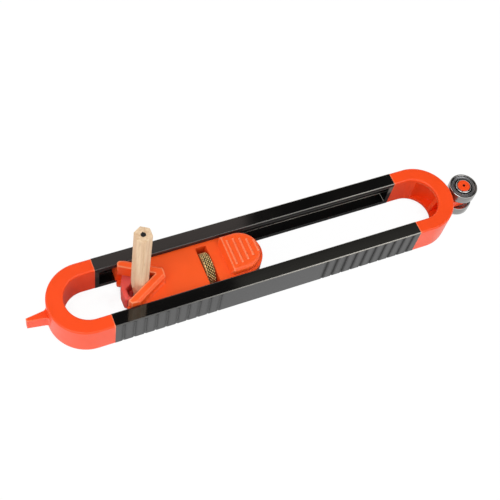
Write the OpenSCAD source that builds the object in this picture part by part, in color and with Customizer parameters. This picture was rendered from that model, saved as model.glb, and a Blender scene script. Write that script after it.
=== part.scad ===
/* [Rails] */
// Length of each rail between the end caps
rail_len = 150; // [140:1:240]
// Width of each rail, seen from above
rail_w = 6.5; // [6:0.1:9]
// Height of the rails and of the end caps
rail_h = 17; // [16.5:0.1:20]
// Clear width between the two rails
gap_w = 22; // [21:0.5:28]
// Thickness of the lips above and below the channel
rail_lip = 2.5; // [1.5:0.1:2.8]
// Thickness of the rail's outer wall
rail_wall = 1.5; // [1:0.1:2.5]
// Thickness of the wall that closes each end of the channel
rail_end_wall = 2; // [1:0.1:5]
// Rounding of the rails' long edges
edge_r = 0.5; // [0.2:0.05:0.9]
// Number of grip grooves in each grooved stretch
groove_count = 10; // [4:1:12]
// Distance from one grip groove to the next
groove_pitch = 5; // [3:0.1:5.4]
// Distance of the outermost grip groove from the rail's end
groove_start = 3.75; // [2:0.05:6]
// Width of a grip groove
groove_w = 1.1; // [0.6:0.1:1.6]
// Depth of a grip groove
groove_d = 0.4; // [0.2:0.05:0.6]
// Distance of the grooves' upper ends from the rail's top
groove_margin = 0.9; // [0.5:0.1:3]
// Depth of the small pit at each groove's upper end
groove_pit = 0.9; // [0.6:0.1:1.4]

/* [End caps] */
// Rounding of the caps' edges
cap_edge_r = 0.8; // [0.3:0.05:1.2]
// Straight length of each cap's legs
leg_len = 7.5; // [7:0.1:15]
// Length of the tongues on the rails that plug into the caps
tongue_len = 5; // [3:0.1:6]
// Width of those tongues
tongue_w = 3; // [2:0.1:3.5]
// Height of those tongues
tongue_h = 9; // [6:0.1:11]
// Play around the tongues in their sockets
tongue_play = 0.1; // [0.05:0.01:0.2]
// Length of the pointer from the cap's rim to its tip
pointer_len = 9.3; // [7:0.1:15]
// Height of the pointer
pointer_h = 7; // [4:0.1:10]
// Width of the pointer's neck
pointer_neck_w = 3.6; // [2.5:0.1:6]
// Width of the pointer's blunt tip
pointer_tip_w = 1.4; // [0.8:0.1:2]
// Radius of the flare at the pointer's root
flare_r = 2.2; // [1:0.1:5]
// Extra thickness of the caps at their middle
apex_extra = 1.2; // [0:0.1:3]
// Thickness of the roller cap's wall behind its pocket
pocket_wall = 2.9; // [2:0.1:4]
// Thickness of the pocket's floor and roof
pocket_floor = 2; // [1.2:0.1:3]
// Radius of the pocket's round back wall, seen from above
pocket_round = 9.6; // [8.5:0.1:11]
// Thickness of the web in the middle of the pocket
web_t = 2.2; // [1.2:0.1:4]

/* [Rollers] */
// Outer diameter of the ball bearings
bearing_d = 14; // [13:0.1:16]
// Bore of the ball bearings
bearing_bore = 5; // [4.4:0.1:5.4]
// Width of the ball bearings
bearing_w = 5; // [4:0.1:5.5]
// Diameter of the balls
ball_d = 2.2; // [1.8:0.05:2.4]
// Number of balls in a bearing
ball_count = 7; // [5:1:8]
// Clear distance from the cap's rim to the rollers
roller_gap = 1; // [0.6:0.1:5]
// Height of the roller axle's ends within the rails' height
roller_inset = 0.3; // [0.2:0.05:0.8]
// Width of the arm that carries the rollers
arm_w = 9; // [8:0.1:12]
// Diameter of the snap lip at each end of the axle
snap_d = 6; // [5.6:0.1:6.6]
// Thickness of the snap lip
snap_t = 0.5; // [0.3:0.05:0.8]

/* [Slide] */
// Distance of the pencil from the pointer end of the rails
pencil_inset = 16.8; // [12:0.1:35]
// Play between the slide and the rails
slide_play = 0.3; // [0.2:0.05:0.5]
// Height of the slide's underside above the surface it stands on
slide_lift = 0.8; // [0.5:0.1:1.2]
// Depth of the slide's top below the rails' top
plate_drop = 2.3; // [1.5:0.1:2.4]
// Length of the slide ahead of the pencil, on the near side
front_len = 9; // [7:0.1:12]
// Distance that the slide's far front end stands back from the near one
far_back = 1.7; // [0:0.1:2.6]
// Rounding of the slide's front corners
front_r = 1.5; // [0.5:0.1:1.5]
// Thickness of the slide's bottom cover
cover_t = 1.8; // [1.4:0.1:2]
// Length of the plain stretch between the wheel's slot and the thumb pad
land_len = 6.9; // [4:0.1:12]
// Diameter of the cover screws
screw_d = 2; // [1.6:0.1:2.2]
// Length of the cover screws
screw_len = 6; // [5:0.1:8]

/* [Thumb pad] */
// Length of the thumb pad
pad_len = 16.9; // [14:0.1:24]
// Rise of the thumb pad above the slide's top
pad_rise = 4; // [2:0.1:6]
// Ledge between the pad's foot and the slide's side
pad_ledge = 1.3; // [0.6:0.1:2.5]
// Rounding of the pad's top edge
pad_edge_r = 1.5; // [0.5:0.1:1.8]
// Rounding of the pad's front corners, seen from above
pad_corner_r = 2.5; // [1:0.1:4]
// Number of ribs across the pad
rib_count = 5; // [3:1:5]
// Distance of the first rib from the pad's front edge
rib_start = 2; // [1:0.1:3]
// Distance from one rib to the next
rib_pitch = 2.95; // [2:0.05:3]
// Width of a rib
rib_w = 1; // [0.6:0.1:1.4]
// Height of a rib above the pad
rib_h = 0.4; // [0.2:0.05:0.6]

/* [Pencil rest and jaw] */
// Angle between the faces of the V rest
v_angle = 60; // [56:1:64]
// Rise of the V rest above the slide's top
v_rise = 5.3; // [3:0.1:8]
// Width of the flat top of the V rest's walls
v_top_w = 2.8; // [2:0.1:3.5]
// Width of the bevel outside that flat top
v_bevel = 1.1; // [0.5:0.1:1.5]
// Length of the blunt nose behind the V's inner corner
nose_len = 3.7; // [2.5:0.1:4]
// Thickness of the wall between the V and the hollow behind it
apex_wall = 4.2; // [3:0.1:6]
// Height of the jaw
jaw_h = 6.5; // [5:0.1:7]
// Thickness of the jaw's hook
hook_t = 2.3; // [1.8:0.1:3]
// Width of the strap that joins the hook to the jaw's block
strap_w = 4.2; // [3:0.1:4.4]
// Gap between the jaw's notch and the pencil at rest
jaw_gap = 1.7; // [1:0.1:3]
// Gap between the hook's foot and the pencil's axis when the jaw is closed
foot_gap = 1; // [1:0.1:1.6]
// Slant of the foot's edge across the slide, in degrees
foot_slant = 28; // [0:1:30]
// Distance that the jaw can open further
jaw_back = 2.6; // [1:0.1:4]
// Length of the jaw's block
block_len = 7; // [6:0.1:10]
// Half the width of the jaw's block
block_half = 6; // [5.5:0.1:6.2]
// Thickness of the block's roof above the draw screw
block_roof = 1.5; // [1:0.1:1.8]
// Distance of the jaw's strap from the slide's side
strap_inset = 0.5; // [0.4:0.05:0.8]
// Radius of the hook's round tip
tip_r = 0.95; // [0.8:0.05:1.1]
// Play around the jaw in the slide
jaw_play = 0.3; // [0.2:0.05:0.4]

/* [Thumbwheel] */
// Diameter of the thumbwheel
wheel_d = 16; // [13:0.1:16.4]
// Width of the thumbwheel
wheel_w = 4; // [3:0.1:5]
// Gap between the thumbwheel's rim and each side of its slot
wheel_side = 0.5; // [0.3:0.05:1]
// Diameter of the thumbwheel's hub
hub_d = 9; // [7:0.1:11]
// Wall that is left between the wheel's slot and the slide's near side
slot_edge = 0.6; // [0.4:0.1:1.5]
// Gap between the hub and the slot's side
hub_play = 0.1; // [0.05:0.01:0.2]
// Diameter of the draw screw
draw_d = 5; // [4:0.1:5.5]
// Play between the draw screw and its bores
draw_play = 0.06; // [0.03:0.01:0.1]
// Length of the draw screw
draw_len = 34; // [28:0.5:36]
// Diameter of the pin that holds the draw screw in the jaw
pin_d = 2; // [1.5:0.1:2.4]
// Thickness of the wall between the jaw's hollow and the wheel's slot
slot_wall = 6.2; // [3.4:0.1:7]

/* [Pencil] */
// Width of the pencil across its flats
pencil_af = 7; // [6.5:0.1:7.6]
// Height of the pencil's top above the surface
pencil_top = 57.5; // [40:0.5:175]
// Length of the pencil's sharpened end
pencil_cone = 18; // [12:0.5:24]
// Diameter of the lead
lead_d = 2.2; // [1.8:0.1:3]
// Height of the pencil's point above the surface
point_lift = 0.2; // [0.1:0.05:0.5]
// Play between the pencil and the V rest
pencil_play = 0.15; // [0.1:0.05:0.3]

/* [Hidden] */
$fn = 64;
// Overrun of cuts past the faces that they open
cut = 1;
orange = [0.98, 0.30, 0.12];
black = [0.06, 0.06, 0.06];
steel = [0.62, 0.62, 0.64];
brass_colour = [0.72, 0.60, 0.38];

// The frame seen from above, measured from the middle of the rails
half_gap = gap_w/2;
half_width = half_gap + rail_w;
rail_mid_y = half_gap + rail_w/2;
mid_z = rail_h/2;
cap_centre_x = rail_len/2 + leg_len;
rim_x = cap_centre_x + half_width;
axle_x = rim_x + roller_gap + bearing_d/2;
pencil_x = pencil_inset - rail_len/2;
// Offset that puts the whole tool's middle at the origin
shift_x = (rim_x + pointer_len - axle_x - bearing_d/2)/2;
// The channel in each rail
channel_depth = rail_w - rail_wall;
channel_h = rail_h - 2*rail_lip;
channel_len = rail_len - 2*rail_end_wall;
// A groove is a stretch of a cylinder of this radius
groove_r = (groove_w*groove_w/4 + groove_d*groove_d)/(2*groove_d);
// The roller stack, from the arm outwards
axle_play = 0.02;
arm_shoulder = 0.3;
axle_r = bearing_bore/2 - axle_play;
boss_t = rail_h - 2*(roller_inset + snap_t + bearing_w);
upper_z = mid_z + boss_t/2;
lower_z = mid_z - boss_t/2 - bearing_w;
pitch_r = (bearing_d + bearing_bore)/4;
race_play = 0.03;
land_depth = 0.23;
inner_land_r = pitch_r - ball_d/2 - race_play + land_depth;
outer_land_r = pitch_r + ball_d/2 + race_play - land_depth;
shield_t = 0.25;
shield_depth = 0.3;
shield_play = 0.2;
shield_seat = 0.4;
shield_r = outer_land_r + shield_seat;
core_d = 1.3;
core_depth = 3;
// The slide, measured from the pencil's axis
half_slide = half_gap - slide_play;
far_x = far_back - front_len;
v_half = v_angle/2;
apex_x = (pencil_af/2 + pencil_play)/sin(v_half);
nose_x = apex_x + nose_len;
hollow_x0 = apex_x + apex_wall;
block_x0 = hollow_x0 + jaw_back + jaw_play;
block_x1 = block_x0 + block_len;
hollow_x1 = block_x1 + jaw_gap + jaw_play;
slot_x0 = hollow_x1 + slot_wall;
slot_x1 = slot_x0 + wheel_w + 2*wheel_side;
wheel_x = (slot_x0 + slot_x1)/2;
slot_end_gap = 1;
slot_half = wheel_d/2 + slot_end_gap;
pad_x0 = slot_x1 + land_len;
pad_x1 = pad_x0 + pad_len;
pad_half = half_slide - pad_ledge;
cover_gap = 0.1;
cover_margin = 0.8;
cover_x1 = slot_x0 - cover_margin;
runner_x1 = pad_x1 - half_slide;
// Heights on the slide
plate_z = rail_h - plate_drop;
cover_z = slide_lift + cover_t;
jaw_z = cover_z + jaw_play;
jaw_top = jaw_z + jaw_h;
block_top = mid_z + draw_d/2 + block_roof;
strap_y1 = half_slide - strap_inset;
strap_y0 = strap_y1 - strap_w;
// The jaw's notch follows the pencil's left half
notch_n = pencil_af/2 + pencil_play;
notch_c = notch_n/cos(30);
notch_x = -jaw_gap;
hook_x = notch_x - notch_n - hook_t;
lip_x = notch_x + (strap_y0 - notch_c)/2;
foot_x = -jaw_gap - foot_gap/cos(foot_slant);
tip_share = 0.35;
// The pin through the jaw's block and the draw screw
pin_x = (block_x0 + block_x1)/2;
pin_roof = 1;
pin_len = block_top - jaw_z - pin_roof;
// Where the cover screws stand: two behind the hollow, one beside the pencil, one behind the V
screw_edge = 3.2;
screw_y = half_slide - screw_edge;
screw_spots = [
    [(hollow_x1 + cover_x1)/2, screw_y],
    [(hollow_x1 + cover_x1)/2, -screw_y],
    [0, -screw_y],
    [apex_x + apex_wall/2, (strap_y0 - jaw_play)/2],
];
screw_play = 0.03;
screw_head_d = 2*screw_d;
screw_head_t = screw_d/2;

// Moves a piece that is drawn from the middle of the rails to its place
module on_frame() {
    translate([shift_x, 0, 0]) children();
}

// Moves a piece that is drawn from the pencil's axis to its place
module on_slide() {
    translate([shift_x + pencil_x, 0, 0]) children();
}

// Rectangle with rounded corners, its lower left corner at the origin
module rounded_rect(w, h, r) {
    translate([r, 0]) square([w - 2*r, h]);
    translate([0, r]) square([w, h - 2*r]);
    for (x = [r, w - r], y = [r, h - r]) translate([x, y]) circle(r);
}

// Runs a profile, drawn in Y and Z, along X
module along_x(length) {
    rotate([90, 0, 90]) linear_extrude(length) children();
}

// One grip groove in the rail's outer wall, open at the underside, with a pit at its upper end
module grip_groove() {
    top_z = rail_h - groove_margin;
    translate([0, groove_r - groove_d, -cut]) cylinder(h = top_z + cut, r = groove_r);
    translate([0, cut, top_z - groove_w/2]) rotate([90, 0, 0]) cylinder(h = groove_pit + cut, d = groove_w);
}

// One rail on the far side: a channel open to the middle, with a tongue at each end
module rail() {
    difference() {
        translate([-rail_len/2, half_gap, 0]) along_x(rail_len) rounded_rect(rail_w, rail_h, edge_r);
        translate([-channel_len/2, half_gap - cut, rail_lip])
            cube([channel_len, channel_depth + cut, channel_h]);
        for (side = [-1, 1], i = [0 : groove_count - 1])
            translate([side*(rail_len/2 - groove_start - i*groove_pitch), half_width, 0]) grip_groove();
    }
    for (side = [-1, 1])
        translate([side*(rail_len/2 + tongue_len/2), rail_mid_y, mid_z])
            cube([tongue_len, tongue_w, tongue_h], center = true);
}

module far_rail() {
    color(black) on_frame() rail();
}

module near_rail() {
    color(black) on_frame() mirror([0, 1, 0]) rail();
}

// Half of the cap's outer section, from its middle plane to its rounded outer edges
module cap_outer_section() {
    square([half_width - cap_edge_r, rail_h]);
    translate([0, cap_edge_r]) square([half_width, rail_h - 2*cap_edge_r]);
    for (z = [cap_edge_r, rail_h - cap_edge_r])
        translate([half_width - cap_edge_r, z]) circle(cap_edge_r);
}

// Half of the opening's section, which widens at the top and underside to round the inner edges
module cap_inner_section() {
    difference() {
        translate([0, -cut]) square([half_gap + cap_edge_r, rail_h + 2*cut]);
        translate([half_gap, 0]) rounded_rect(rail_w, rail_h, cap_edge_r);
    }
}

// Runs half a section along straight legs and round the end towards +X
module stadium_end(straight_x0, centre_x) {
    translate([centre_x, 0, 0]) rotate([0, 0, -90]) rotate_extrude(angle = 180) children();
    translate([straight_x0, 0, 0]) along_x(centre_x - straight_x0) {
        children();
        mirror([1, 0]) children();
    }
}

// Half ring with two straight legs and a socket in each, at the end towards +X
module cap_shell() {
    difference() {
        stadium_end(rail_len/2, cap_centre_x) cap_outer_section();
        stadium_end(rail_len/2 - cut, cap_centre_x - apex_extra) cap_inner_section();
        for (side = [-1, 1])
            translate([rail_len/2 + tongue_len/2, side*rail_mid_y, mid_z])
                cube([
                    tongue_len + 2*tongue_play,
                    tongue_w + 2*tongue_play,
                    tongue_h + 2*tongue_play,
                ], center = true);
    }
}

// Outline of the pointer from above, along +X, with its flared root
module pointer_outline() {
    root_half = pointer_neck_w/2 + flare_r;
    root_x = rim_x - rail_w/2;
    neck_x = cap_centre_x + sqrt(half_width*half_width - root_half*root_half) + flare_r;
    tip_x = rim_x + pointer_len;
    difference() {
        polygon([
            [root_x, -root_half], [neck_x, -root_half], [neck_x, -pointer_neck_w/2],
            [tip_x, -pointer_tip_w/2], [tip_x, pointer_tip_w/2],
            [neck_x, pointer_neck_w/2], [neck_x, root_half], [root_x, root_half],
        ]);
        for (side = [-1, 1]) translate([neck_x, side*root_half]) circle(flare_r);
    }
}

module pointer_cap() {
    color(orange) on_frame() mirror([1, 0, 0]) {
        cap_shell();
        difference() {
            translate([0, 0, mid_z - pointer_h/2]) linear_extrude(pointer_h) pointer_outline();
            translate([cap_centre_x, 0, -cut]) cylinder(h = rail_h + 2*cut, r = half_width - rail_w/2);
        }
    }
}

// Room of the roller cap's pocket, which runs out as a crescent on both sides
module pocket_room(extra) {
    translate([rim_x - pocket_wall - pocket_round, 0, pocket_floor])
        cylinder(h = rail_h - 2*pocket_floor, r = pocket_round + extra);
}

// Arm, shoulders, stub axles and snap lips for the two rollers
module roller_arm() {
    arm_t = boss_t - 2*arm_shoulder;
    arm_x0 = rim_x - pocket_wall/2;
    difference() {
        union() {
            translate([arm_x0, -arm_w/2, mid_z - arm_t/2]) cube([axle_x - arm_x0, arm_w, arm_t]);
            translate([axle_x, 0, mid_z - arm_t/2]) cylinder(h = arm_t, d = arm_w);
            translate([axle_x, 0, mid_z - boss_t/2]) cylinder(h = boss_t, r = inner_land_r - shield_play);
            translate([axle_x, 0, roller_inset]) cylinder(h = rail_h - 2*roller_inset, r = axle_r);
            for (z = [roller_inset, rail_h - roller_inset - snap_t])
                translate([axle_x, 0, z]) cylinder(h = snap_t, d = snap_d);
        }
        for (z = [roller_inset - cut, rail_h - roller_inset - core_depth])
            translate([axle_x, 0, z]) cylinder(h = core_depth + cut, d = core_d);
    }
}

module roller_cap() {
    inner_x = cap_centre_x + half_gap - apex_extra;
    back_x = rim_x - pocket_wall;
    roof_z = rail_h - pocket_floor;
    color(orange) on_frame() {
        difference() {
            cap_shell();
            pocket_room(0);
        }
        // The web leans from the pocket's floor to its back wall
        intersection() {
            pocket_room(pocket_wall/2);
            translate([0, web_t/2, 0]) rotate([90, 0, 0]) linear_extrude(web_t) polygon([
                [inner_x, pocket_floor], [rim_x, pocket_floor],
                [rim_x, roof_z], [back_x - web_t/2, roof_z],
            ]);
        }
        roller_arm();
    }
}

// Places a bearing piece, drawn from its lower face on its own axis
module at_bearing(z) {
    on_frame() translate([axle_x, 0, z]) children();
}

// The round race that the balls run in, as a cut
module race() {
    translate([pitch_r, bearing_w/2]) circle(ball_d/2 + race_play);
}

module inner_ring(z) {
    color(steel) at_bearing(z) rotate_extrude() difference() {
        translate([bearing_bore/2, 0]) square([inner_land_r - bearing_bore/2, bearing_w]);
        race();
    }
}

module outer_ring(z) {
    color(steel) at_bearing(z) rotate_extrude() difference() {
        translate([outer_land_r, 0]) rounded_rect(bearing_d/2 - outer_land_r, bearing_w, shield_t);
        for (side = [-cut, bearing_w - shield_depth - shield_t])
            translate([outer_land_r - cut, side])
                square([shield_seat + cut, cut + shield_depth + shield_t]);
        race();
    }
}

module shields(z) {
    color(steel) at_bearing(z) for (h = [shield_depth, bearing_w - shield_depth - shield_t])
        translate([0, 0, h]) rotate_extrude() translate([inner_land_r + shield_play, 0])
            square([shield_r - inner_land_r - shield_play, shield_t]);
}

// Repeats a piece at every ball
module at_balls() {
    for (i = [0 : ball_count - 1])
        rotate([0, 0, i*360/ball_count]) translate([pitch_r, 0, bearing_w/2]) children();
}

// Ring between the two races, with a drilled pocket for every ball
module cage(z) {
    cage_t = 0.8;
    cage_rim = 0.4;
    cage_h = ball_d + 2*cage_rim;
    pocket_play = 0.05;
    color(steel) at_bearing(z) difference() {
        translate([0, 0, (bearing_w - cage_h)/2]) rotate_extrude()
            translate([pitch_r - cage_t/2, 0]) square([cage_t, cage_h]);
        at_balls() rotate([0, 90, 0]) cylinder(h = 2*ball_d, d = ball_d + 2*pocket_play, center = true);
    }
}

module balls(z) {
    color(steel) at_bearing(z) at_balls() sphere(ball_d/2);
}

module upper_inner_ring() { inner_ring(upper_z); }
module upper_outer_ring() { outer_ring(upper_z); }
module upper_shields() { shields(upper_z); }
module upper_cage() { cage(upper_z); }
module upper_balls() { balls(upper_z); }
module lower_inner_ring() { inner_ring(lower_z); }
module lower_outer_ring() { outer_ring(lower_z); }
module lower_shields() { shields(lower_z); }
module lower_cage() { cage(lower_z); }
module lower_balls() { balls(lower_z); }

// Far half of the slide's outline, without its round rear end, from a front end at a given X
module slide_half(front_x) {
    translate([front_x, 0]) square([runner_x1 - front_x, half_slide - front_r]);
    translate([front_x + front_r, 0]) square([runner_x1 - front_x - front_r, half_slide]);
    translate([front_x + front_r, half_slide - front_r]) circle(front_r);
}

// Outline of the slide from above: rounded front corners and a round rear end
module slide_outline() {
    slide_half(far_x);
    mirror([0, 1]) slide_half(-front_len);
    translate([runner_x1, 0]) circle(half_slide);
}

// The open V that the pencil stands in
module v_opening() {
    mouth_x = -front_len - cut;
    mouth_half = (apex_x - mouth_x)*tan(v_half);
    polygon([[apex_x, 0], [mouth_x, mouth_half], [mouth_x, -mouth_half]]);
}

// One wall of the V rest on the near side, with its flat top, bevel and flared foot
module v_wall() {
    foot = 0.8;
    foot_w = v_top_w + v_bevel + foot;
    wall_len = 4*front_len;
    intersection() {
        translate([apex_x, 0, plate_z - cut]) rotate([0, 0, 180 + v_half])
            translate([-wall_len/2, 0, 0]) along_x(wall_len) polygon([
                [0, 0], [foot_w, 0], [foot_w, cut], [v_top_w + v_bevel, cut + foot],
                [v_top_w + v_bevel, cut + v_rise - v_bevel], [v_top_w, cut + v_rise], [0, cut + v_rise],
            ]);
        translate([-front_len - cut, -half_slide - cut, 0])
            cube([front_len + cut + nose_x, half_slide + cut, plate_z + v_rise + cut]);
    }
}

// Raised thumb pad with a round rear end, a sloping front with rounded corners and cross ribs
module thumb_pad() {
    end_x = pad_x1 - pad_ledge - pad_half;
    slope_w = 1.5;
    slope_angle = atan2(pad_rise, slope_w);
    front_x = pad_x0 - slope_w;
    intersection() {
        difference() {
            translate([0, 0, plate_z - cut]) stadium_end(front_x, end_x) pad_section();
            translate([front_x, -half_gap, plate_z]) rotate([0, -slope_angle, 0])
                cube([2*pad_rise, gap_w, 2*pad_rise]);
        }
        translate([0, 0, plate_z - cut]) linear_extrude(pad_rise + 2*cut) {
            translate([front_x + pad_corner_r, -half_gap]) square([pad_len, gap_w]);
            translate([front_x, pad_corner_r - pad_half]) square([pad_len, 2*(pad_half - pad_corner_r)]);
            for (side = [-1, 1])
                translate([front_x + pad_corner_r, side*(pad_half - pad_corner_r)]) circle(pad_corner_r);
        }
    }
    for (i = [0 : rib_count - 1]) pad_rib(pad_x0 + rib_start + i*rib_pitch, end_x);
}

// Half of the pad's cross-section, with its top edge rounded
module pad_section() {
    h = pad_rise + cut;
    square([pad_half, h - pad_edge_r]);
    square([pad_half - pad_edge_r, h]);
    translate([pad_half - pad_edge_r, h - pad_edge_r]) circle(pad_edge_r);
}

// One half-round rib across the pad, shortened where the pad is round
module pad_rib(x, end_x) {
    rim = 3;
    taper = 0.43;
    half = pad_half - rim - taper*max(x - end_x, 0);
    rib_r = (rib_w*rib_w/4 + rib_h*rib_h)/(2*rib_h);
    if (half > rib_w)
        intersection() {
            translate([x, half, plate_z + pad_rise + rib_h - rib_r]) rotate([90, 0, 0])
                cylinder(h = 2*half, r = rib_r);
            translate([x - rib_w, -half, plate_z + pad_rise - rib_h])
                cube([2*rib_w, 2*half, 2*rib_h + cut]);
        }
}

// Runner of the slide in the far rail's channel, from a front end at a given X
module runner(front_x) {
    root_y = half_slide - front_r;
    translate([front_x, root_y, rail_lip + slide_play])
        cube([runner_x1 - front_x, half_gap + channel_depth - slide_play - root_y, channel_h - 2*slide_play]);
}

module carriage_body() {
    hollow_y0 = -block_half - jaw_play;
    hollow_y1 = strap_y1 + jaw_play;
    strap_hole_y0 = strap_y0 - jaw_play;
    strap_hole_h = jaw_top + jaw_play - cover_z + cut;
    color(orange) on_slide() difference() {
        union() {
            translate([0, 0, slide_lift]) linear_extrude(plate_z - slide_lift) slide_outline();
            runner(far_x);
            mirror([0, 1, 0]) runner(-front_len);
            intersection() {
                union() {
                    v_wall();
                    mirror([0, 1, 0]) v_wall();
                }
                linear_extrude(plate_z + v_rise + cut) slide_outline();
            }
            thumb_pad();
        }
        translate([0, 0, -cut]) linear_extrude(plate_z + v_rise + 2*cut) v_opening();
        // Room for the cover
        translate([-front_len - cut, -half_gap, -cut])
            cube([cover_x1 + cover_gap + front_len + cut, gap_w, cover_z + cut]);
        // Room for the jaw's hook under the far wall, its strap's channel and its block's hollow
        translate([-front_len - cut, 0, cover_z - cut])
            cube([lip_x + jaw_gap + jaw_play + front_len + cut, strap_y0, strap_hole_h]);
        translate([-front_len - cut, strap_hole_y0, cover_z - cut])
            cube([hollow_x1 + front_len + cut, hollow_y1 - strap_hole_y0, strap_hole_h]);
        translate([hollow_x0, hollow_y0, cover_z - cut])
            cube([hollow_x1 - hollow_x0, hollow_y1 - hollow_y0, block_top + jaw_play - cover_z + cut]);
        // Slot for the thumbwheel and bore for the draw screw
        translate([slot_x0, slot_edge - half_slide, -cut])
            cube([slot_x1 - slot_x0, half_slide - slot_edge + slot_half, rail_h + cut]);
        translate([hollow_x1 - cut, 0, mid_z]) rotate([0, 90, 0])
            cylinder(h = pad_x1 - hollow_x1 + 2*cut, r = draw_d/2 + draw_play);
        for (spot = screw_spots)
            translate([spot[0], spot[1], cover_z - cut])
                cylinder(h = screw_len - cover_t + 2*cut, d = screw_d + 2*screw_play);
    }
}

module carriage_cover() {
    color(orange) on_slide() translate([0, 0, slide_lift]) difference() {
        linear_extrude(cover_t) difference() {
            intersection() {
                slide_outline();
                translate([-front_len, -half_slide]) square([front_len + cover_x1, 2*half_slide]);
            }
            v_opening();
        }
        for (spot = screw_spots) translate([spot[0], spot[1], 0]) {
            translate([0, 0, -cut]) cylinder(h = cover_t + 2*cut, d = screw_d + 2*screw_play);
            cylinder(h = screw_head_t, d1 = screw_head_d, d2 = screw_d + 2*screw_play);
        }
    }
}

module cover_screws() {
    head_play = 0.1;
    color(steel) on_slide() translate([0, 0, slide_lift]) for (spot = screw_spots)
        translate([spot[0], spot[1], 0]) {
            translate([0, 0, head_play]) cylinder(h = screw_len - head_play, d = screw_d);
            translate([0, 0, head_play])
                cylinder(h = screw_head_t - head_play, d1 = screw_head_d - 2*head_play, d2 = screw_d);
        }
}

// Brass wheel with a hub on each side, threaded on the draw screw
module thumbwheel() {
    rim_bevel = 0.4;
    hub_rise = wheel_side - hub_play;
    bore_r = draw_d/2 + draw_play;
    color(brass_colour) on_slide() translate([wheel_x, 0, mid_z]) rotate([0, 90, 0])
        rotate_extrude() polygon([
            [bore_r, -wheel_w/2 - hub_rise], [hub_d/2, -wheel_w/2 - hub_rise],
            [hub_d/2, -wheel_w/2], [wheel_d/2 - rim_bevel, -wheel_w/2],
            [wheel_d/2, rim_bevel - wheel_w/2], [wheel_d/2, wheel_w/2 - rim_bevel],
            [wheel_d/2 - rim_bevel, wheel_w/2], [hub_d/2, wheel_w/2],
            [hub_d/2, wheel_w/2 + hub_rise], [bore_r, wheel_w/2 + hub_rise],
        ]);
}

// Outline of the jaw from above: strap, hook and the notch that fits the pencil
module jaw_outline() {
    shoulder_x = hook_x + hook_t;
    tip_x = notch_x - notch_n + notch_n*tip_share;
    tip_y = -notch_c/2*(1 + tip_share);
    polygon([
        [block_x1, strap_y0], [block_x1, strap_y1], [shoulder_x + hook_t/2, strap_y1],
        [shoulder_x - hook_t/2, strap_y0], [hook_x, notch_c/2], [hook_x, -notch_c/2],
        [hook_x + hook_t/2, tip_y - hook_t/4], [tip_x, tip_y],
        [notch_x - notch_n, -notch_c/2], [notch_x - notch_n, notch_c/2],
        [notch_x, notch_c], [lip_x, strap_y0],
    ]);
    translate([hook_x + hook_t/2, -notch_c/2]) circle(hook_t/2);
    translate([(hook_x + hook_t/2 + tip_x)/2, tip_y - hook_t/8]) circle(tip_r);
}

// Keeps what stays inside the V, clear of the cover, when the jaw is closed
module inside_v() {
    intersection() {
        children();
        translate([-jaw_gap - 2*jaw_play, 0]) v_opening();
    }
}

module clamp_jaw() {
    color([0.95, 0.27, 0.22]) on_slide() difference() {
        union() {
            translate([0, 0, jaw_z]) linear_extrude(jaw_h) jaw_outline();
            // The hook's foot reaches down inside the V and slants past the pencil's point
            translate([0, 0, slide_lift]) {
                linear_extrude(jaw_top - slide_lift) inside_v() jaw_outline();
                linear_extrude(jaw_z - slide_lift) inside_v() polygon([
                    [hook_x + hook_t, -notch_c/2], [foot_x - notch_c/2*tan(foot_slant), -notch_c/2],
                    [foot_x + strap_y0*tan(foot_slant), strap_y0], [hook_x + hook_t, strap_y0],
                ]);
            }
            translate([block_x0, -block_half, jaw_z])
                cube([block_len, block_half + strap_y0 + strap_w/2, block_top - jaw_z]);
        }
        translate([block_x0 - cut, 0, mid_z]) rotate([0, 90, 0])
            cylinder(h = block_len + 2*cut, d = draw_d);
        translate([pin_x, 0, jaw_z - cut]) cylinder(h = pin_len + cut, d = pin_d);
    }
}

module draw_screw() {
    color(steel) on_slide() difference() {
        translate([block_x0, 0, mid_z]) rotate([0, 90, 0]) cylinder(h = draw_len, d = draw_d);
        translate([pin_x, 0, mid_z - draw_d]) cylinder(h = 2*draw_d, d = pin_d);
    }
}

module jaw_pin() {
    color(steel) on_slide() translate([pin_x, 0, jaw_z]) cylinder(h = pin_len, d = pin_d);
}

// The pencil's outer shape: a hexagon with a conical point
module pencil_shape() {
    corner_r = pencil_af/2/cos(30);
    body_z = point_lift + pencil_cone;
    intersection() {
        translate([0, 0, point_lift]) rotate([0, 0, 30])
            cylinder(h = pencil_top - point_lift, r = corner_r, $fn = 6);
        union() {
            translate([0, 0, point_lift]) cylinder(h = pencil_cone, r1 = 0, r2 = corner_r);
            translate([0, 0, body_z]) cylinder(h = pencil_top - body_z, r = corner_r + cut);
        }
    }
}

module pencil_wood() {
    color([0.86, 0.72, 0.57]) on_slide() difference() {
        pencil_shape();
        cylinder(h = pencil_top + cut, d = lead_d);
    }
}

module pencil_lead() {
    color([0.1, 0.09, 0.09]) on_slide() intersection() {
        pencil_shape();
        cylinder(h = pencil_top, d = lead_d);
    }
}

near_rail();
far_rail();
pointer_cap();
roller_cap();
upper_inner_ring();
upper_outer_ring();
upper_shields();
upper_cage();
upper_balls();
lower_inner_ring();
lower_outer_ring();
lower_shields();
lower_cage();
lower_balls();
carriage_body();
carriage_cover();
cover_screws();
thumbwheel();
clamp_jaw();
draw_screw();
jaw_pin();
pencil_wood();
pencil_lead();
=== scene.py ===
"""Looks of a pencil scribing gauge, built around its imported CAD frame."""

import math

import bmesh
import bpy
from mathutils import Matrix, Vector


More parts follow.
